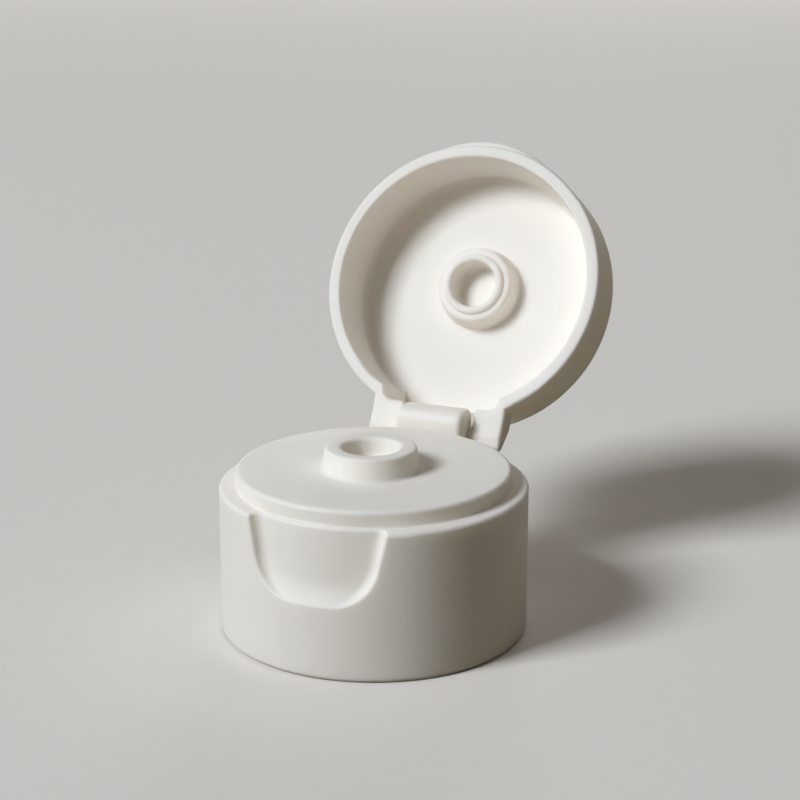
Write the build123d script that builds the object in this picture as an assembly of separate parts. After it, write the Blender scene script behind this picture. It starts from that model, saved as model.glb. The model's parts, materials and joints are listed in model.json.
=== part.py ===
"""Flip top cap: a screw-on moulded base with a dispensing nozzle, and a snap lid on a rear hinge.

Millimetres. The origin is the centre of the base's lower rim, +Z is up, the thumb recess faces -Y and
the hinge is at +Y. The lid is modelled shut on the base and then swung open by OPEN_ANGLE.
"""
from build123d import *
from math import hypot, sqrt
import os

# Base: outer shell
CAP_RADIUS = 19.0
SHOULDER_HEIGHT = 18.4
SKIRT_WALL = 1.6
SHOULDER_WALL = 1.6
FOOT_ROUND = 0.6
SHOULDER_ROUND = 0.5

# Base: screw sleeve that takes the bottle neck
SLEEVE_GAP = 2.0
SLEEVE_WALL = 1.4
SLEEVE_SETBACK = 1.2
RIB_COUNT = 8
RIB_WIDTH = 1.0
RIB_SETBACK = 3.0

# Base: raised deck inside the lid
DECK_RISE = 2.0
DECK_WALL = 1.4
DECK_ROUND = 0.55
DECK_FOOT_ROUND = 0.2

# Base: nozzle, a little nearer the front than the cap's axis
NOZZLE_FORWARD = 0.9
NOZZLE_HEIGHT = 2.8
NOZZLE_TOP_RADIUS = 5.6
NOZZLE_DRAFT = 0.45
NOZZLE_FOOT_ROUND = 0.5
NOZZLE_TOP_ROUND = 0.35
MOUTH_RADIUS = 3.55
MOUTH_DEPTH = 2.5
MOUTH_DRAFT = 0.25
MOUTH_ENTRY_ROUND = 0.5
MOUTH_FLOOR_ROUND = 0.7
ORIFICE_RADIUS = 2.1

# Base: thumb recess in the front of the skirt
RECESS_HALF_WIDTH = 8.65
RECESS_HEIGHT = 9.3
RECESS_DEPTH = 1.55
RECESS_FOOT_DEPTH = 1.25
RECESS_SIDE_TAPER = 1.85
RECESS_CORNER = 6.0
RECESS_DIP = 0.15
RECESS_SCOOP = 5.0
RECESS_SIDE_ROUND = 1.0
RECESS_EDGE_ROUND = 0.35
RECESS_BACKING = 1.0

# Lid
LID_HEIGHT = 9.4
LID_WALL = 1.65
LID_TOP_WALL = 1.0
LID_TOP_ROUND = 1.8
LID_DRAFT = 0.35
LID_FLOOR_ROUND = 0.9
LID_RIM_ROUND = 0.3
RIM_GAP = 0.1
DECK_CLEARANCE = 0.4

# Lid: hollow sealing plug, whose rounded lip lands on the nozzle round its mouth
PLUG_FOOT_RADIUS = 5.65
PLUG_SHOULDER_RADIUS = 5.15
PLUG_FOOT_ROUND = 0.4
PLUG_SHOULDER_ROUND = 0.45
SEAL_GAP = 0.1
SEAL_RADIUS = 4.25
SEAL_WALL = 1.1
SEAL_HEIGHT = 0.6
SEAL_ROUND = 0.5

# Lid: thumb lip, a crescent on the front of the wall
THUMB_REACH = 1.0
THUMB_ARC_RADIUS = 14.5
THUMB_SETBACK = 1.2
THUMB_HEIGHT = 2.6
THUMB_ROUND = 0.7

# Hinge: the axis lies behind the wall and a little above the lid's rim
HINGE_OFFSET = 1.5
HINGE_RISE = 0.6
OPEN_ANGLE = 116.5
EAR_INNER = 5.15
EAR_WIDTH = 4.15
EAR_THICKNESS = 3.3
EAR_END_RADIUS = 0.8
EAR_TAIL = 0.9
EAR_ROUND = 0.4
PEG_RADIUS = 0.75
PEG_LENGTH = 2.6
PEG_CLEARANCE = 0.05
KNUCKLE_SIDE_GAP = 0.45
KNUCKLE_FRONT_GAP = 0.5
KNUCKLE_TOP = 3.45
KNUCKLE_BACK = 1.45
KNUCKLE_FRONT_ROUND = 1.3
KNUCKLE_BACK_ROUND = 1.2
KNUCKLE_EDGE_ROUND = 0.8
GUSSET_HEIGHT = 4.4
SWEEP_CLEARANCE = 0.3
BAY_MARGIN = 1.2
BAY_SETBACK = 1.95
BAY_CORNER = 1.5
BAY_CHAMFER = 0.3

# Heights and radii that follow from the sizes above
DECK_HEIGHT = SHOULDER_HEIGHT + DECK_RISE
NOZZLE_TOP = DECK_HEIGHT + NOZZLE_HEIGHT
RIM_HEIGHT = SHOULDER_HEIGHT + RIM_GAP
LID_TOP = RIM_HEIGHT + LID_HEIGHT
LID_FLOOR = LID_TOP - LID_TOP_WALL
DECK_UNDERSIDE = DECK_HEIGHT - DECK_WALL
LID_BORE = CAP_RADIUS - LID_WALL
DECK_RADIUS = LID_BORE - DECK_CLEARANCE
SKIRT_BORE = CAP_RADIUS - SKIRT_WALL
SLEEVE_RADIUS = SKIRT_BORE - SLEEVE_GAP
NECK_RADIUS = SLEEVE_RADIUS - SLEEVE_WALL
SHOULDER_UNDERSIDE = SHOULDER_HEIGHT - SHOULDER_WALL
HINGE_Y = CAP_RADIUS + HINGE_OFFSET
HINGE_Z = RIM_HEIGHT + HINGE_RISE
EAR_OUTER = EAR_INNER + EAR_WIDTH
KNUCKLE_HALF = EAR_INNER - KNUCKLE_SIDE_GAP
KNUCKLE_FRONT = DECK_RADIUS + KNUCKLE_FRONT_GAP

# Working values: a length past every piece for cutters, and how near counts as equal
BEYOND = 4 * CAP_RADIUS
NEAR = 0.001


def outline(corners):
    """Closed face through (x, y, round) corners, each corner rounded by its own radius."""
    face = make_face(Polyline(*[(x, y) for x, y, _ in corners], close=True))
    for x, y, radius in corners:
        if radius:
            face = fillet(face.vertices().sort_by_distance((x, y, 0))[0], radius)
    return face


def turned(corners):
    """Solid of revolution about Z from a section of (radius, height, round) corners."""
    return revolve(Plane.XZ * outline(corners), Axis.Z)


def ring(inner, outer, bottom, top):
    """Plain ring about Z."""
    return turned([(inner, bottom, 0), (outer, bottom, 0), (outer, top, 0), (inner, top, 0)])


def span(x_range, y_range, z_range):
    """Box between the given limits."""
    limits = (x_range, y_range, z_range)
    size = [high - low for low, high in limits]
    middle = [(high + low) / 2 for low, high in limits]
    return Pos(*middle) * Box(*size)


def across(face, half_width):
    """Face drawn in (y, z), made as wide as the hinge asks, symmetric in X."""
    return extrude(Plane.YZ * face, amount=half_width, both=True)


def hinge_bar(radius, x_from, x_to):
    """Round bar on the hinge axis."""
    bar = Cylinder(radius, x_to - x_from)
    return Pos((x_from + x_to) / 2, HINGE_Y, HINGE_Z) * Rot(0, 90, 0) * bar


def on_nozzle(solid):
    """Solid made about Z, set on the nozzle's own axis."""
    return Pos(0, -NOZZLE_FORWARD, 0) * solid


def base_shell():
    """Skirt, shoulder, deck and screw sleeve as one turned wall."""
    return turned([
        (SKIRT_BORE, 0, 0),
        (CAP_RADIUS, 0, FOOT_ROUND),
        (CAP_RADIUS, SHOULDER_HEIGHT, SHOULDER_ROUND),
        (DECK_RADIUS, SHOULDER_HEIGHT, DECK_FOOT_ROUND),
        (DECK_RADIUS, DECK_HEIGHT, DECK_ROUND),
        (0, DECK_HEIGHT, 0),
        (0, DECK_UNDERSIDE, 0),
        (NECK_RADIUS, DECK_UNDERSIDE, 0),
        (NECK_RADIUS, SLEEVE_SETBACK, 0),
        (SLEEVE_RADIUS, SLEEVE_SETBACK, 0),
        (SLEEVE_RADIUS, SHOULDER_UNDERSIDE, 0),
        (SKIRT_BORE, SHOULDER_UNDERSIDE, 0),
    ])


def nozzle():
    """Nozzle with its mouth and orifice, and the ring of deck that it grows from."""
    throat = NOZZLE_TOP - MOUTH_DEPTH
    foot = NOZZLE_TOP_RADIUS + NOZZLE_DRAFT
    collar = foot + 2 * NOZZLE_FOOT_ROUND
    return turned([
        (ORIFICE_RADIUS, DECK_UNDERSIDE, 0),
        (collar, DECK_UNDERSIDE, 0),
        (collar, DECK_HEIGHT, 0),
        (foot, DECK_HEIGHT, NOZZLE_FOOT_ROUND),
        (NOZZLE_TOP_RADIUS, NOZZLE_TOP, NOZZLE_TOP_ROUND),
        (MOUTH_RADIUS, NOZZLE_TOP, MOUTH_ENTRY_ROUND),
        (MOUTH_RADIUS - MOUTH_DRAFT, throat, MOUTH_FLOOR_ROUND),
        (ORIFICE_RADIUS, throat, 0),
    ])


def sleeve_ribs():
    """Radial ribs between the skirt and the sleeve, and the solid backing behind the thumb recess."""
    embed = min(SKIRT_WALL, SLEEVE_WALL) / 2
    web = ring(SLEEVE_RADIUS - embed, SKIRT_BORE + embed, RIB_SETBACK, SHOULDER_UNDERSIDE + embed)
    rib = span((0, CAP_RADIUS), (-RIB_WIDTH / 2, RIB_WIDTH / 2), (0, SHOULDER_HEIGHT))
    spokes = [Rot(0, 0, (i + 0.5) * 360 / RIB_COUNT) * rib for i in range(RIB_COUNT)]
    half = RECESS_HALF_WIDTH + RECESS_BACKING
    backing_foot = SHOULDER_HEIGHT - RECESS_HEIGHT - RECESS_BACKING
    backing = span((-half, half), (-CAP_RADIUS, 0), (backing_foot, SHOULDER_HEIGHT))
    return [web & spoke for spoke in spokes] + [web & backing]


def thumb_recess():
    """Cutter for the thumb recess: a U from the front, its floor swept out to the skirt at the foot."""
    top = SHOULDER_HEIGHT
    sill = top - RECESS_HEIGHT
    half_foot = RECESS_HALF_WIDTH - RECESS_SIDE_TAPER
    foot = sill - RECESS_DIP
    front = outline([
        (-RECESS_HALF_WIDTH, top, 0),
        (-half_foot, foot, RECESS_CORNER),
        (half_foot, foot, RECESS_CORNER),
        (RECESS_HALF_WIDTH, top, 0),
    ])
    floor = CAP_RADIUS - RECESS_DEPTH
    scoop_centre = sill + sqrt(RECESS_SCOOP**2 - (RECESS_SCOOP - RECESS_FOOT_DEPTH)**2)
    scoop_foot = scoop_centre - RECESS_SCOOP
    lean = (RECESS_DEPTH - RECESS_FOOT_DEPTH) / (top - scoop_centre)
    sweep = turned([
        (floor, top, 0),
        (floor + lean * (top - scoop_foot), scoop_foot, RECESS_SCOOP),
        (BEYOND, scoop_foot, 0),
        (BEYOND, top, 0),
    ])
    block = extrude(Plane.XZ * front, amount=BEYOND) & sweep
    inside = [e for e in block.edges() if follows_floor(e, floor, top)]
    return fillet(inside, RECESS_SIDE_ROUND)


def follows_floor(edge, floor, top):
    """True for the edges between the sides of the recess and its swept floor."""
    points = [edge @ 0, edge @ 0.5, edge @ 1]
    along_y = abs(points[0].X - points[2].X) < NEAR and abs(points[0].Z - points[2].Z) < NEAR
    near_floor = all(hypot(p.X, p.Y) < floor + RECESS_SCOOP for p in points)
    return near_floor and not along_y and edge.center().Z < top - NEAR


def is_at_radius(edge, radius):
    """True where an edge runs along the cylinder of that radius about Z."""
    points = [edge @ 0, edge @ 0.5, edge @ 1]
    return all(abs(hypot(p.X, p.Y) - radius) < NEAR for p in points)


def recess_rim(body):
    """Edges where the thumb recess meets the outside of the skirt."""
    low = FOOT_ROUND + NEAR
    high = SHOULDER_HEIGHT - SHOULDER_ROUND - NEAR
    on_skirt = [e for e in body.edges() if is_at_radius(e, CAP_RADIUS)]
    return [e for e in on_skirt if low < e.center().Z < high and e.center().Y < -NEAR]


def knuckle():
    """Centre block of the hinge: a rounded head on the shoulder, with a gusset down the back wall."""
    top = HINGE_Z + KNUCKLE_TOP
    back = HINGE_Y + KNUCKLE_BACK
    in_wall = CAP_RADIUS - SKIRT_WALL / 2
    head = across(outline([
        (KNUCKLE_FRONT, SHOULDER_HEIGHT - SHOULDER_WALL / 2, 0),
        (KNUCKLE_FRONT, top, KNUCKLE_FRONT_ROUND),
        (back, top, KNUCKLE_BACK_ROUND),
        (back, HINGE_Z - KNUCKLE_BACK / 2, KNUCKLE_BACK_ROUND),
        (in_wall, SHOULDER_HEIGHT - GUSSET_HEIGHT, 0),
    ]), KNUCKLE_HALF)
    sides = [e for e in head.edges() if abs(abs(e.center().X) - KNUCKLE_HALF) < NEAR]
    return fillet(sides, KNUCKLE_EDGE_ROUND)


def make_base():
    """Base moulding."""
    body = base_shell() - on_nozzle(Cylinder(NOZZLE_TOP_RADIUS, BEYOND))
    body = body + on_nozzle(nozzle())
    body = body + sleeve_ribs()
    body = body - thumb_recess()
    body = fillet(recess_rim(body), RECESS_EDGE_ROUND)
    body = body + knuckle()
    return body - hinge_bar(PEG_RADIUS + PEG_CLEARANCE, -KNUCKLE_HALF, KNUCKLE_HALF)


def lid_cup():
    """Cup of the lid, as one turned wall."""
    return turned([
        (0, LID_TOP, 0),
        (CAP_RADIUS, LID_TOP, LID_TOP_ROUND),
        (CAP_RADIUS, RIM_HEIGHT, LID_RIM_ROUND),
        (LID_BORE, RIM_HEIGHT, LID_RIM_ROUND),
        (LID_BORE - LID_DRAFT, LID_FLOOR, LID_FLOOR_ROUND),
        (0, LID_FLOOR, 0),
    ])


def sealing_plug():
    """Hollow plug, and the ring of the lid's top that it grows from."""
    seal_bore = SEAL_RADIUS - SEAL_WALL
    seal_tip = NOZZLE_TOP + SEAL_GAP
    plug_shoulder = seal_tip + SEAL_HEIGHT
    root = LID_FLOOR + LID_TOP_WALL / 2
    inside = seal_bore - 2 * PLUG_FOOT_ROUND
    outside = PLUG_FOOT_RADIUS + 2 * PLUG_FOOT_ROUND
    return turned([
        (inside, root, 0),
        (outside, root, 0),
        (outside, LID_FLOOR, 0),
        (PLUG_FOOT_RADIUS, LID_FLOOR, PLUG_FOOT_ROUND),
        (PLUG_SHOULDER_RADIUS, plug_shoulder, PLUG_SHOULDER_ROUND),
        (SEAL_RADIUS, plug_shoulder, 0),
        (SEAL_RADIUS, seal_tip, SEAL_ROUND),
        (seal_bore, seal_tip, SEAL_ROUND),
        (seal_bore, LID_FLOOR, PLUG_FOOT_ROUND),
        (inside, LID_FLOOR, 0),
    ])


def thumb_lip():
    """Crescent that stands out from the front of the lid, just above the rim."""
    bottom = RIM_HEIGHT + THUMB_SETBACK
    centre_y = THUMB_ARC_RADIUS - CAP_RADIUS - THUMB_REACH
    disc = Pos(0, centre_y, bottom) * extrude(Circle(THUMB_ARC_RADIUS), THUMB_HEIGHT)
    disc = fillet(disc.edges().filter_by(GeomType.CIRCLE), THUMB_ROUND)
    return disc & ring(CAP_RADIUS - LID_WALL / 2, BEYOND, bottom, bottom + THUMB_HEIGHT)


def hinge_bay():
    """Pocket across the back of the lid, between the roots of the ears, from the rim to the lid's floor."""
    half = EAR_OUTER - BAY_MARGIN
    back = CAP_RADIUS - BAY_SETBACK
    plan = outline([(-half, 0, 0), (half, 0, 0), (half, back, BAY_CORNER), (-half, back, BAY_CORNER)])
    mouth = extrude(offset(plan, BAY_CHAMFER), BAY_CHAMFER, taper=45)
    return Pos(0, 0, RIM_HEIGHT) * (extrude(plan, LID_FLOOR - RIM_HEIGHT) + mouth)


def hinge_ear(side):
    """Ear on one side of the lid (side is 1 or -1), with the peg that turns in the knuckle."""
    back = RIM_HEIGHT + EAR_THICKNESS
    plate = outline([(0, RIM_HEIGHT, 0), (CAP_RADIUS, RIM_HEIGHT, 0), (CAP_RADIUS, back, 0), (0, back, 0)])
    eye = Pos(HINGE_Y, HINGE_Z) * Circle(EAR_END_RADIUS)
    tip = Pos(HINGE_Y + EAR_TAIL, RIM_HEIGHT + EAR_END_RADIUS) * Circle(EAR_END_RADIUS)
    tail = make_hull(plate.edges().sort_by(Axis.X)[-1:] + eye.edges() + tip.edges())
    profile = plate + tail
    arm = Pos(side * (EAR_INNER + EAR_WIDTH / 2), 0, 0) * across(profile, EAR_WIDTH / 2)
    flanks = arm.faces().filter_by(Axis.X)
    arm = fillet(flanks.edges(), EAR_ROUND)
    arm = arm - hinge_bay() - Cylinder(LID_BORE, BEYOND)
    inner = EAR_INNER - PEG_LENGTH
    outer = EAR_INNER + EAR_WIDTH / 2
    return arm + hinge_bar(PEG_RADIUS, min(side * inner, side * outer), max(side * inner, side * outer))


def knuckle_reach():
    """Largest distance from the hinge axis to the rounded head of the knuckle."""
    front = hypot(HINGE_Y - KNUCKLE_FRONT - KNUCKLE_FRONT_ROUND, KNUCKLE_TOP - KNUCKLE_FRONT_ROUND)
    back = hypot(KNUCKLE_BACK - KNUCKLE_BACK_ROUND, KNUCKLE_TOP - KNUCKLE_BACK_ROUND)
    foot = hypot(HINGE_Y - KNUCKLE_FRONT, HINGE_Z - SHOULDER_HEIGHT)
    return max(front + KNUCKLE_FRONT_ROUND, back + KNUCKLE_BACK_ROUND, foot)


def make_lid():
    """Lid moulding, shut on the base."""
    body = lid_cup() - hinge_bay()
    body = body - hinge_bar(knuckle_reach() + SWEEP_CLEARANCE, -EAR_INNER, EAR_INNER)
    body = body + on_nozzle(sealing_plug()) + thumb_lip()
    return body + [hinge_ear(1), hinge_ear(-1)]


def opened(shut_lid):
    """Lid swung open about the hinge axis."""
    return shut_lid.rotate(Axis((0, HINGE_Y, HINGE_Z), (1, 0, 0)), -OPEN_ANGLE)


def main():
    """Write one STEP file for each moulding."""
    os.makedirs("parts", exist_ok=True)
    export_step(make_base(), "parts/base.step")
    export_step(opened(make_lid()), "parts/lid.step")


main()
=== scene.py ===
"""Dresses the flip top cap and sets it in a small studio.

Metres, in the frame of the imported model: the origin is the centre of the base's lower rim, +Z is up, the
thumb recess faces -Y and the hinge is at +Y. The base and the lid are the frame's own mouldings. Their
finish, the thread inside the neck and the studio are made here.
"""
from __future__ import annotations

import json
import logging
import math
from dataclasses import dataclass, field
from enum import Enum

import bpy
from mathutils import Euler, Matrix, Vector


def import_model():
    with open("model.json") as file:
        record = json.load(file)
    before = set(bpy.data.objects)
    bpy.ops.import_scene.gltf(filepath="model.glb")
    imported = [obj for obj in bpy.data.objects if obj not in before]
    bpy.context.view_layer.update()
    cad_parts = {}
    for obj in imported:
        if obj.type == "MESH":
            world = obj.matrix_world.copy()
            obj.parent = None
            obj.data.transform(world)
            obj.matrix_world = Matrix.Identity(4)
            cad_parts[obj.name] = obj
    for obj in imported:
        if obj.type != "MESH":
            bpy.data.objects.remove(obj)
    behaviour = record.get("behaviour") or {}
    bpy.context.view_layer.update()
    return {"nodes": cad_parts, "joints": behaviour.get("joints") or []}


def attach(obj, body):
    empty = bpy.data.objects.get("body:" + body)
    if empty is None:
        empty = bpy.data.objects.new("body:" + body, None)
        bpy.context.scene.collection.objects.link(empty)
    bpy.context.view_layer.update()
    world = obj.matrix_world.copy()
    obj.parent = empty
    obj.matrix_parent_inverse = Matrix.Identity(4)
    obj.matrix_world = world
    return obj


MM = 0.001

# Places of the colour sockets on a Mix node, which has sockets of the same name for other kinds of value.
MIX_SHARE = 0
MIX_FIRST = 6
MIX_SECOND = 7
MIX_COLOUR = 2

log = logging.getLogger("flip_top_cap")


class Moulding(Enum):
    """The cap's two mouldings, by the name of their node and body."""

    BASE = "base"
    LID = "lid"


def linear(hex_code: str) -> tuple[float, float, float, float]:
    """Turn an sRGB hex colour into linear RGBA.

    Args:
        hex_code: Colour such as "#F0EEE8".

    Returns:
        Linear red, green and blue, with an alpha of 1.
    """
    parts = [int(hex_code[place:place + 2], 16) / 255 for place in (1, 3, 5)]
    red, green, blue = [p / 12.92 if p <= 0.04045 else ((p + 0.055) / 1.055) ** 2.4 for p in parts]
    return red, green, blue, 1.0


def add_node(tree: bpy.types.NodeTree, kind: str, settings: dict[str, object] | None = None,
             inputs: dict[str | int, object] | None = None) -> bpy.types.Node:
    """Add a node, set its properties and fill its inputs.

    Args:
        tree: Node tree that gets the node.
        kind: Blender's class name of the node.
        settings: Properties of the node, such as its operation.
        inputs: What goes into each input, by name or place. A socket is linked, any other value is set.

    Returns:
        The new node.
    """
    node = tree.nodes.new(kind)
    for name, value in (settings or {}).items():
        setattr(node, name, value)
    for key, value in (inputs or {}).items():
        if isinstance(value, bpy.types.NodeSocket):
            tree.links.new(value, node.inputs[key])
        else:
            node.inputs[key].default_value = value
    return node


def seen_by_eye(tree: bpy.types.NodeTree) -> bpy.types.NodeSocket:
    """Build a mask of what the camera sees, straight, in a reflection or through something clear.

    Args:
        tree: Node tree of a material or a world.

    Returns:
        Socket that is 1 for such rays and 0 for light that falls on the cap.
    """
    path = add_node(tree, "ShaderNodeLightPath").outputs
    direct = add_node(tree, "ShaderNodeMath", {"operation": "MAXIMUM"},
                      {0: path["Is Camera Ray"], 1: path["Is Transmission Ray"]})
    seen = add_node(tree, "ShaderNodeMath", {"operation": "MAXIMUM"},
                    {0: direct.outputs[0], 1: path["Is Glossy Ray"]})
    return seen.outputs[0]


def per_metre(size_mm: float) -> float:
    """Texture scale at which one feature is that many millimetres wide."""
    return 1.0 / (size_mm * MM)


@dataclass(frozen=True)
class Seat:
    """How a moulding's points go back to where they were in the mould, with +Z along the mould's axis."""

    rotation: Euler = field(default_factory=Euler)
    offset: Vector = field(default_factory=Vector)

    @classmethod
    def shut(cls, joint: dict) -> Seat:
        """Seat of a lid that its hinge brings shut at the lower end of the range.

        Args:
            joint: The hinge, as the record gives it.

        Returns:
            Seat that swings points of the open lid shut.
        """
        pivot = Vector(joint["pos_m"])
        swing = Matrix.Rotation(math.radians(joint["range_deg"][0]), 3, Vector(joint["axis"]))
        return cls(rotation=swing.to_euler(), offset=pivot - swing @ pivot)


@dataclass(frozen=True)
class TurningLines:
    """Fine rings that the mould maker's lathe left on the side of the sealing plug.

    The plug stands forward of the cap's axis. The rings lie between two radii and fade in between two
    heights, measured with the lid shut.
    """

    pitch_mm: float = 0.42
    depth_mm: float = 0.03
    forward_mm: float = 0.9
    inner_radius_mm: float = 4.95
    outer_radius_mm: float = 5.95
    low_mm: float = 24.3
    high_mm: float = 26.9

    def plug_side(self, tree: bpy.types.NodeTree, point: bpy.types.NodeSocket) -> bpy.types.NodeSocket:
        """Build a mask of points that are as far from the plug's axis as its side.

        Args:
            tree: Material's node tree.
            point: Position in the mould, in metres.

        Returns:
            Socket that is 1 at the plug's side and 0 elsewhere.
        """
        centred = add_node(tree, "ShaderNodeVectorMath", {"operation": "ADD"},
                           {0: point, 1: (0, self.forward_mm * MM, 0)})
        flat = add_node(tree, "ShaderNodeVectorMath", {"operation": "MULTIPLY"},
                        {0: centred.outputs[0], 1: (1, 1, 0)})
        radius = add_node(tree, "ShaderNodeVectorMath", {"operation": "LENGTH"}, {0: flat.outputs[0]})
        middle = (self.outer_radius_mm + self.inner_radius_mm) / 2 * MM
        reach = (self.outer_radius_mm - self.inner_radius_mm) / 2 * MM
        near = add_node(tree, "ShaderNodeMath", {"operation": "COMPARE"},
                        {0: radius.outputs["Value"], 1: middle, 2: reach})
        return near.outputs[0]

    def height(self, tree: bpy.types.NodeTree, point: bpy.types.NodeSocket) -> bpy.types.NodeSocket:
        """Build the rings' height, zero away from the plug's side.

        Args:
            tree: Material's node tree.
            point: Position in the mould, in metres.

        Returns:
            Socket with the height, from -1 to 1.
        """
        along = add_node(tree, "ShaderNodeSeparateXYZ", inputs={0: point}).outputs["Z"]
        turns = 2 * math.pi * per_metre(self.pitch_mm)
        phase = add_node(tree, "ShaderNodeMath", {"operation": "MULTIPLY"}, {0: along, 1: turns})
        wave = add_node(tree, "ShaderNodeMath", {"operation": "SINE"}, {0: phase.outputs[0]})
        rise = add_node(tree, "ShaderNodeMapRange", {"interpolation_type": "SMOOTHSTEP"}, {
            "Value": along, "From Min": self.low_mm * MM, "From Max": self.high_mm * MM})
        band = add_node(tree, "ShaderNodeMath", {"operation": "MULTIPLY"},
                        {0: self.plug_side(tree, point), 1: rise.outputs[0]})
        shown = add_node(tree, "ShaderNodeMath", {"operation": "MULTIPLY"},
                         {0: wave.outputs[0], 1: band.outputs[0]})
        return shown.outputs[0]


@dataclass(frozen=True)
class Polypropylene:
    """White polypropylene, injection moulded in a satin-blasted tool.

    The plastic is milky and lets a little light through, so shade inside the thin walls turns warm. The
    blasted tool leaves a soft sheen with broad highlights and no mirror image.
    """

    name: str = "white_polypropylene_moulded_satin"
    body: str = "#FBF5EE"
    flow: str = "#F9F2EA"
    ior: float = 1.49
    roughness: tuple[float, float] = (0.58, 0.66)
    translucency: float = 0.65
    scatter_mm: tuple[float, float, float] = (1.4, 1.25, 1.1)
    flow_mm: float = 9.0
    flow_detail: float = 3.0
    # Most of the flow noise lies in this band, over which the sheen goes from one roughness to the other.
    flow_band: tuple[float, float] = (0.3, 0.7)
    ripple_mm: float = 5.0
    ripple_depth_mm: float = 0.01
    # The blasted grain is about 0.05 mm across. It is drawn coarser, so that it shows.
    grain_mm: float = 0.3
    grain_depth_mm: float = 0.004

    def relief(self, tree: bpy.types.NodeTree, point: bpy.types.NodeSocket,
               lines: TurningLines | None) -> bpy.types.NodeSocket:
        """Build the moulded skin: slow ripples, the blasted grain and the turning lines.

        Args:
            tree: Material's node tree.
            point: Position in the mould, in metres.
            lines: Turning lines, where the moulding has them.

        Returns:
            Socket with the surface's normal.
        """
        ripple = add_node(tree, "ShaderNodeTexNoise", inputs={
            "Vector": point, "Scale": per_metre(self.ripple_mm)})
        grain = add_node(tree, "ShaderNodeTexNoise", inputs={
            "Vector": point, "Scale": per_metre(self.grain_mm)})
        layers = [(ripple.outputs["Fac"], self.ripple_depth_mm), (grain.outputs["Fac"], self.grain_depth_mm)]
        if lines:
            layers.append((lines.height(tree, point), lines.depth_mm))
        normal = None
        for height, depth_mm in layers:
            bump = add_node(tree, "ShaderNodeBump", inputs={"Height": height, "Distance": depth_mm * MM})
            if normal is not None:
                tree.links.new(normal, bump.inputs["Normal"])
            normal = bump.outputs["Normal"]
        return normal

    def material(self, moulding: Moulding, seat: Seat,
                 lines: TurningLines | None = None) -> bpy.types.Material:
        """Build the finish of one moulding.

        Args:
            moulding: Which moulding it is for.
            seat: Where the moulding sat in the mould.
            lines: Turning lines, where the moulding has them.

        Returns:
            The material.
        """
        material = bpy.data.materials.new(f"{self.name}_{moulding.value}")
        material.use_nodes = True
        tree = material.node_tree
        place = add_node(tree, "ShaderNodeTexCoord")
        mould = add_node(tree, "ShaderNodeMapping", {"vector_type": "POINT"}, {
            "Vector": place.outputs["Object"], "Location": seat.offset, "Rotation": seat.rotation})
        point = mould.outputs["Vector"]

        flow = add_node(tree, "ShaderNodeTexNoise", inputs={
            "Vector": point, "Scale": per_metre(self.flow_mm), "Detail": self.flow_detail})
        tint = add_node(tree, "ShaderNodeMix", {"data_type": "RGBA"}, {
            MIX_SHARE: flow.outputs["Fac"], MIX_FIRST: linear(self.body), MIX_SECOND: linear(self.flow)})
        sheen = add_node(tree, "ShaderNodeMapRange", inputs={
            "Value": flow.outputs["Fac"], "From Min": self.flow_band[0], "From Max": self.flow_band[1],
            "To Min": self.roughness[0], "To Max": self.roughness[1]})

        shader = tree.nodes["Principled BSDF"]
        tree.links.new(tint.outputs[MIX_COLOUR], shader.inputs["Base Color"])
        tree.links.new(sheen.outputs[0], shader.inputs["Roughness"])
        tree.links.new(self.relief(tree, point, lines), shader.inputs["Normal"])
        shader.inputs["IOR"].default_value = self.ior
        shader.inputs["Subsurface Weight"].default_value = self.translucency
        shader.inputs["Subsurface Radius"].default_value = self.scatter_mm
        shader.inputs["Subsurface Scale"].default_value = MM
        return material


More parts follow.
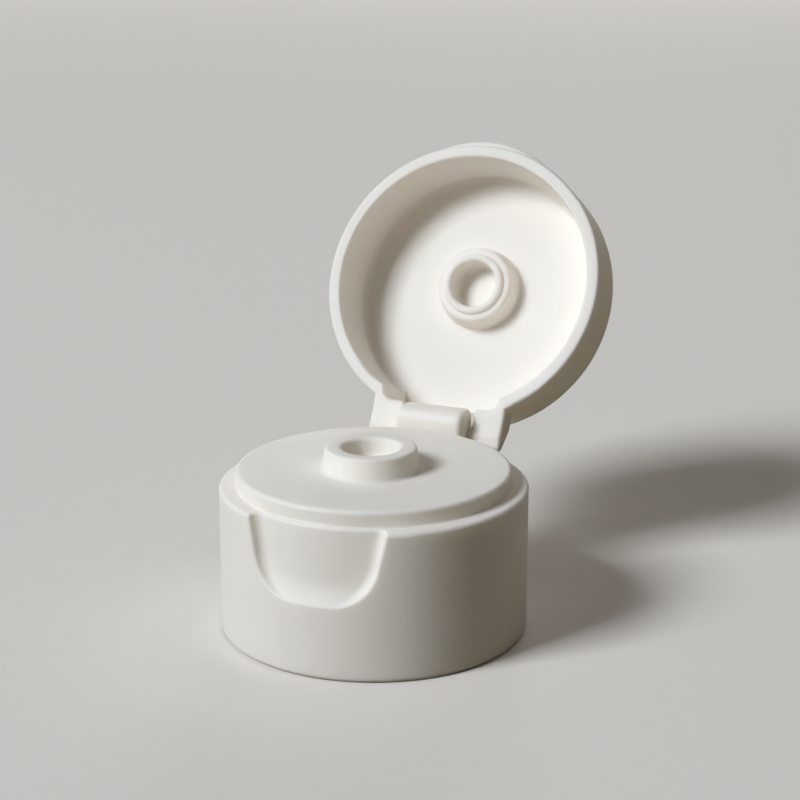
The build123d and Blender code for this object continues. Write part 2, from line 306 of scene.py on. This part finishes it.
@dataclass(frozen=True)
class StudioPaper:
    """Matt paper sweep: pale, even and without gloss.

    The camera sees it pale, and far from the cap it passes into the backdrop. To light that falls back on the
    cap it is grey, so that the shade keeps its depth.
    """

    name: str = "matt_studio_paper"
    colour: str = "#F2EFEA"
    fleck: str = "#EEEBE5"
    bounce: str = "#8F8472"
    backdrop: str = "#D8D5D0"
    # Metres from the cap where the paper starts to pass into the backdrop, and where it is all backdrop.
    sweep: tuple[float, float] = (0.4, 1.8)
    fibre_mm: float = 2.0
    fibre_detail: float = 4.0
    roughness: float = 0.9

    def material(self) -> bpy.types.Material:
        """Build the paper's material.

        Returns:
            The material.
        """
        material = bpy.data.materials.new(self.name)
        material.use_nodes = True
        tree = material.node_tree
        shader = tree.nodes["Principled BSDF"]
        place = add_node(tree, "ShaderNodeTexCoord").outputs["Object"]
        eye = seen_by_eye(tree)

        fibre = add_node(tree, "ShaderNodeTexNoise", inputs={
            "Vector": place, "Scale": per_metre(self.fibre_mm), "Detail": self.fibre_detail})
        tint = add_node(tree, "ShaderNodeMix", {"data_type": "RGBA"}, {
            MIX_SHARE: fibre.outputs["Fac"], MIX_FIRST: linear(self.colour), MIX_SECOND: linear(self.fleck)})
        seen = add_node(tree, "ShaderNodeMix", {"data_type": "RGBA"}, {
            MIX_SHARE: eye, MIX_FIRST: linear(self.bounce), MIX_SECOND: tint.outputs[MIX_COLOUR]})
        tree.links.new(seen.outputs[MIX_COLOUR], shader.inputs["Base Color"])
        shader.inputs["Roughness"].default_value = self.roughness

        away = add_node(tree, "ShaderNodeVectorMath", {"operation": "LENGTH"}, {0: place})
        reach = add_node(tree, "ShaderNodeMapRange", {"interpolation_type": "SMOOTHSTEP"}, {
            "Value": away.outputs["Value"], "From Min": self.sweep[0], "From Max": self.sweep[1]})
        far = add_node(tree, "ShaderNodeMath", {"operation": "MULTIPLY"}, {0: reach.outputs[0], 1: eye})
        rise = add_node(tree, "ShaderNodeEmission", inputs={"Color": linear(self.backdrop)})
        paper = add_node(tree, "ShaderNodeMixShader", inputs={
            0: far.outputs[0], 1: shader.outputs[0], 2: rise.outputs[0]})
        tree.links.new(paper.outputs[0], tree.nodes["Material Output"].inputs["Surface"])
        return material


@dataclass
class CapMouldings:
    """The base and the lid, as the frame holds them."""

    nodes: dict[str, bpy.types.Object]
    hinge: dict
    finish: Polypropylene = field(default_factory=Polypropylene)
    plug_lines: TurningLines = field(default_factory=TurningLines)

    def dress(self) -> dict[Moulding, bpy.types.Material]:
        """Give both mouldings their finish.

        Returns:
            The material of each moulding.
        """
        finishes = {
            Moulding.BASE: self.finish.material(Moulding.BASE, Seat()),
            Moulding.LID: self.finish.material(Moulding.LID, Seat.shut(self.hinge), self.plug_lines),
        }
        for moulding, material in finishes.items():
            slots = self.nodes[moulding.value].data.materials
            slots.clear()
            slots.append(material)
            log.info("%s dressed in %s", moulding.value, material.name)
        return finishes


@dataclass
class NeckThread:
    """Right-handed ridge inside the sleeve that screws onto the bottle's neck.

    The ridge is let into the wall of the bore by a little. At each end it fades, over a share of its length,
    to a tip that is a share of its section.
    """

    bore_radius_mm: float = 14.0
    embed_mm: float = 0.1
    ridge_mm: float = 0.95
    root_width_mm: float = 2.1
    crest_width_mm: float = 0.8
    crest_round_mm: float = 0.25
    crest_steps: int = 4
    pitch_mm: float = 4.23
    turns: float = 1.6
    foot_mm: float = 4.2
    fade: float = 0.08
    tip: float = 0.1
    steps_per_turn: int = 96
    sharp_angle: float = 35.0

    def sizes(self) -> dict[str, float]:
        """List the ridge's sizes.

        Returns:
            Each size, in metres, turns or shares, by the name of its input in the node group.
        """
        return {
            "Helix Radius": (self.bore_radius_mm + self.embed_mm) * MM,
            "Ridge Depth": (self.ridge_mm + self.embed_mm) * MM,
            "Root Width": self.root_width_mm * MM,
            "Crest Width": self.crest_width_mm * MM,
            "Crest Round": self.crest_round_mm * MM,
            "Turns": self.turns,
            "Rise": self.turns * self.pitch_mm * MM,
            "Foot": self.foot_mm * MM,
            "Fade": self.fade,
            "Tip": self.tip,
        }

    def helix(self, tree: bpy.types.NodeTree, given: bpy.types.NodeOutputs) -> bpy.types.NodeSocket:
        """Build the line along the bore's wall that the ridge follows.

        Args:
            tree: The ridge's node group.
            given: The group's inputs.

        Returns:
            Socket with the curve.
        """
        # Blender's spiral is left-handed unless it is reversed.
        helix = add_node(tree, "GeometryNodeCurveSpiral", inputs={
            "Resolution": self.steps_per_turn, "Rotations": given["Turns"], "Height": given["Rise"],
            "Start Radius": given["Helix Radius"], "End Radius": given["Helix Radius"], "Reverse": True})
        lift = add_node(tree, "ShaderNodeCombineXYZ", inputs={"Z": given["Foot"]})
        raised = add_node(tree, "GeometryNodeTransform", inputs={
            "Geometry": helix.outputs[0], "Translation": lift.outputs[0]})
        upright = add_node(tree, "GeometryNodeSetCurveNormal", {"mode": "Z_UP"}, {"Curve": raised.outputs[0]})
        return upright.outputs[0]

    def section(self, tree: bpy.types.NodeTree, given: bpy.types.NodeOutputs) -> bpy.types.NodeSocket:
        """Build the ridge's section: a trapezoid with rounded corners, its root on the helix.

        Args:
            tree: The ridge's node group.
            given: The group's inputs.

        Returns:
            Socket with the closed curve.
        """
        outline = add_node(tree, "GeometryNodeCurvePrimitiveQuadrilateral", {"mode": "TRAPEZOID"}, {
            "Height": given["Ridge Depth"], "Bottom Width": given["Root Width"],
            "Top Width": given["Crest Width"], "Offset": 0.0})
        half = add_node(tree, "ShaderNodeMath", {"operation": "MULTIPLY"}, {0: given["Ridge Depth"], 1: 0.5})
        to_root = add_node(tree, "ShaderNodeCombineXYZ", inputs={"Y": half.outputs[0]})
        rooted = add_node(tree, "GeometryNodeTransform", inputs={
            "Geometry": outline.outputs[0], "Translation": to_root.outputs[0]})
        rounded = add_node(tree, "GeometryNodeFilletCurve", {"mode": "POLY"}, {
            "Curve": rooted.outputs[0], "Count": self.crest_steps, "Radius": given["Crest Round"],
            "Limit Radius": True})
        inward = add_node(tree, "GeometryNodeTransform", inputs={
            "Geometry": rounded.outputs[0], "Rotation": (0.0, 0.0, math.pi / 2)})
        return inward.outputs[0]

    def run_out(self, tree: bpy.types.NodeTree, given: bpy.types.NodeOutputs) -> bpy.types.NodeSocket:
        """Build the size of the section along the ridge.

        Args:
            tree: The ridge's node group.
            given: The group's inputs.

        Returns:
            Socket that is 1 along the ridge and falls to the tip's share at each end.
        """
        along = add_node(tree, "GeometryNodeSplineParameter").outputs["Factor"]
        left = add_node(tree, "ShaderNodeMath", {"operation": "SUBTRACT"}, {0: 1.0, 1: along}).outputs[0]
        start, end = [
            add_node(tree, "ShaderNodeMapRange", {"interpolation_type": "SMOOTHSTEP"}, {
                "Value": distance, "From Max": given["Fade"], "To Min": given["Tip"]})
            for distance in (along, left)
        ]
        least = add_node(tree, "ShaderNodeMath", {"operation": "MINIMUM"},
                         {0: start.outputs[0], 1: end.outputs[0]})
        return least.outputs[0]

    def tree(self) -> bpy.types.NodeTree:
        """Build the node group that sweeps the ridge's section along a helix.

        Returns:
            The node group, with a named input for each size.
        """
        tree = bpy.data.node_groups.new("neck_thread", "GeometryNodeTree")
        for name in self.sizes():
            tree.interface.new_socket(name, in_out="INPUT", socket_type="NodeSocketFloat")
        tree.interface.new_socket("Material", in_out="INPUT", socket_type="NodeSocketMaterial")
        tree.interface.new_socket("Ridge", in_out="OUTPUT", socket_type="NodeSocketGeometry")
        given = add_node(tree, "NodeGroupInput").outputs
        ridge = add_node(tree, "GeometryNodeCurveToMesh", inputs={
            "Curve": self.helix(tree, given), "Profile Curve": self.section(tree, given),
            "Scale": self.run_out(tree, given), "Fill Caps": True})
        realized = add_node(tree, "GeometryNodeRealizeInstances", inputs={"Geometry": ridge.outputs[0]})
        dressed = add_node(tree, "GeometryNodeSetMaterial", inputs={
            "Geometry": realized.outputs[0], "Material": given["Material"]})
        add_node(tree, "NodeGroupOutput", inputs={"Ridge": dressed.outputs[0]})
        return tree

    def build(self, material: bpy.types.Material) -> bpy.types.Object:
        """Sweep the ridge, turn it into a plain mesh and set it on the base.

        Args:
            material: The base's finish.

        Returns:
            The finished ridge.
        """
        piece = bpy.data.objects.new("neck_thread", bpy.data.meshes.new("neck_thread"))
        bpy.context.scene.collection.objects.link(piece)
        modifier = piece.modifiers.new("thread", "NODES")
        modifier.node_group = self.tree()
        settings = {**self.sizes(), "Material": material}
        for item in modifier.node_group.interface.items_tree:
            if item.in_out == "INPUT":
                modifier[item.identifier] = settings[item.name]
        evaluated = piece.evaluated_get(bpy.context.evaluated_depsgraph_get())
        mesh = bpy.data.meshes.new_from_object(evaluated)
        piece.modifiers.remove(modifier)
        mesh.shade_smooth()
        mesh.set_sharp_from_angle(angle=math.radians(self.sharp_angle))
        piece.data = mesh
        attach(piece, Moulding.BASE.value)
        log.info("%s built with %d faces", piece.name, len(mesh.polygons))
        return piece


def from_azimuth(azimuth: float, elevation: float) -> Vector:
    """Unit vector from the cap towards a place round it.

    Args:
        azimuth: Degrees round the cap, 0 in front of it and 90 at its right.
        elevation: Degrees above the floor.

    Returns:
        The direction.
    """
    turn = math.radians(azimuth)
    tilt = math.radians(elevation)
    return Vector((math.sin(turn) * math.cos(tilt), -math.cos(turn) * math.cos(tilt), math.sin(tilt)))


@dataclass(frozen=True)
class SoftBox:
    """Square diffused lamp that faces the cap.

    Angles are in degrees, lengths in metres and the power in watts.
    """

    name: str
    azimuth: float
    elevation: float
    distance: float
    side: float
    power: float
    colour: str

    def place(self, target: Vector) -> None:
        """Set the lamp up.

        Args:
            target: Point that the lamp is aimed at.
        """
        lamp = bpy.data.lights.new(self.name, "AREA")
        lamp.shape = "SQUARE"
        lamp.size = self.side
        lamp.energy = self.power
        lamp.color = linear(self.colour)[:3]
        holder = bpy.data.objects.new(self.name, lamp)
        bpy.context.scene.collection.objects.link(holder)
        towards = from_azimuth(self.azimuth, self.elevation)
        holder.location = target + towards * self.distance
        holder.rotation_euler = towards.to_track_quat("Z", "Y").to_euler()


@dataclass(frozen=True)
class ProductCamera:
    """Camera in front and a little to the right, looking down at the open cap."""

    position: tuple[float, float, float] = (0.08828, -0.20286, 0.09242)
    azimuth: float = 22.689
    elevation: float = 16.045
    lens_mm: float = 85.334
    sensor_mm: float = 36.0
    clip_start: float = 0.01

    def place(self) -> None:
        """Set the camera up and make it the scene's own."""
        camera = bpy.data.cameras.new("product_camera")
        camera.sensor_width = self.sensor_mm
        camera.lens = self.lens_mm
        camera.clip_start = self.clip_start
        holder = bpy.data.objects.new("product_camera", camera)
        bpy.context.scene.collection.objects.link(holder)
        holder.location = self.position
        holder.rotation_euler = from_azimuth(self.azimuth, self.elevation).to_track_quat("Z", "Y").to_euler()
        bpy.context.scene.camera = holder


@dataclass(frozen=True)
class Studio:
    """Pale paper floor, soft lamps and a dim warm room.

    The key stands in front at the left. The top lamp lifts the deck, and the back lamp the back of the lid.
    """

    half_floor: float = 4.0
    target: tuple[float, float, float] = (0.0, 0.008, 0.024)
    room: str = "#CBB596"
    room_strength: float = 0.06
    paper: StudioPaper = field(default_factory=StudioPaper)
    camera: ProductCamera = field(default_factory=ProductCamera)
    lamps: tuple[SoftBox, ...] = (
        SoftBox("key", -36.0, 37.0, 4.0, 1.3, 138.0, "#F4F9FF"),
        SoftBox("top", 150.0, 62.0, 3.0, 1.0, 7.0, "#FFFAF2"),
        SoftBox("back", -165.0, 8.0, 3.0, 1.0, 18.0, "#FBFBFF"),
    )

    def lay_floor(self) -> None:
        """Lay the paper under the cap."""
        half = self.half_floor
        corners = [(-half, -half, 0), (half, -half, 0), (half, half, 0), (-half, half, 0)]
        mesh = bpy.data.meshes.new("paper_floor")
        mesh.from_pydata(corners, [], [(0, 1, 2, 3)])
        mesh.materials.append(self.paper.material())
        floor = bpy.data.objects.new("paper_floor", mesh)
        bpy.context.scene.collection.objects.link(floor)

    def light_room(self) -> None:
        """Light the cap with a dim warm room, behind a pale backdrop."""
        world = bpy.data.worlds.new("studio_room")
        bpy.context.scene.world = world
        world.use_nodes = True
        tree = world.node_tree
        room = tree.nodes["Background"]
        room.inputs["Color"].default_value = linear(self.room)
        room.inputs["Strength"].default_value = self.room_strength
        pale = add_node(tree, "ShaderNodeBackground", inputs={"Color": linear(self.paper.backdrop)})
        mixed = add_node(tree, "ShaderNodeMixShader", inputs={
            0: seen_by_eye(tree), 1: room.outputs[0], 2: pale.outputs[0]})
        tree.links.new(mixed.outputs[0], tree.nodes["World Output"].inputs["Surface"])

    def build(self) -> None:
        """Set up the floor, the light and the camera."""
        self.lay_floor()
        self.light_room()
        for lamp in self.lamps:
            lamp.place(Vector(self.target))
        self.camera.place()
        bpy.context.scene.view_settings.view_transform = "Standard"
        log.info("studio set with %d lamps", len(self.lamps))


def main() -> None:
    """Load the frame, dress the cap and set up the studio."""
    logging.basicConfig(level=logging.INFO, format="%(name)s: %(message)s")
    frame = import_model()
    mouldings = CapMouldings(frame["nodes"], frame["joints"][0])
    finishes = mouldings.dress()
    NeckThread().build(finishes[Moulding.BASE])
    Studio().build()


if __name__ == "__main__":
    main()
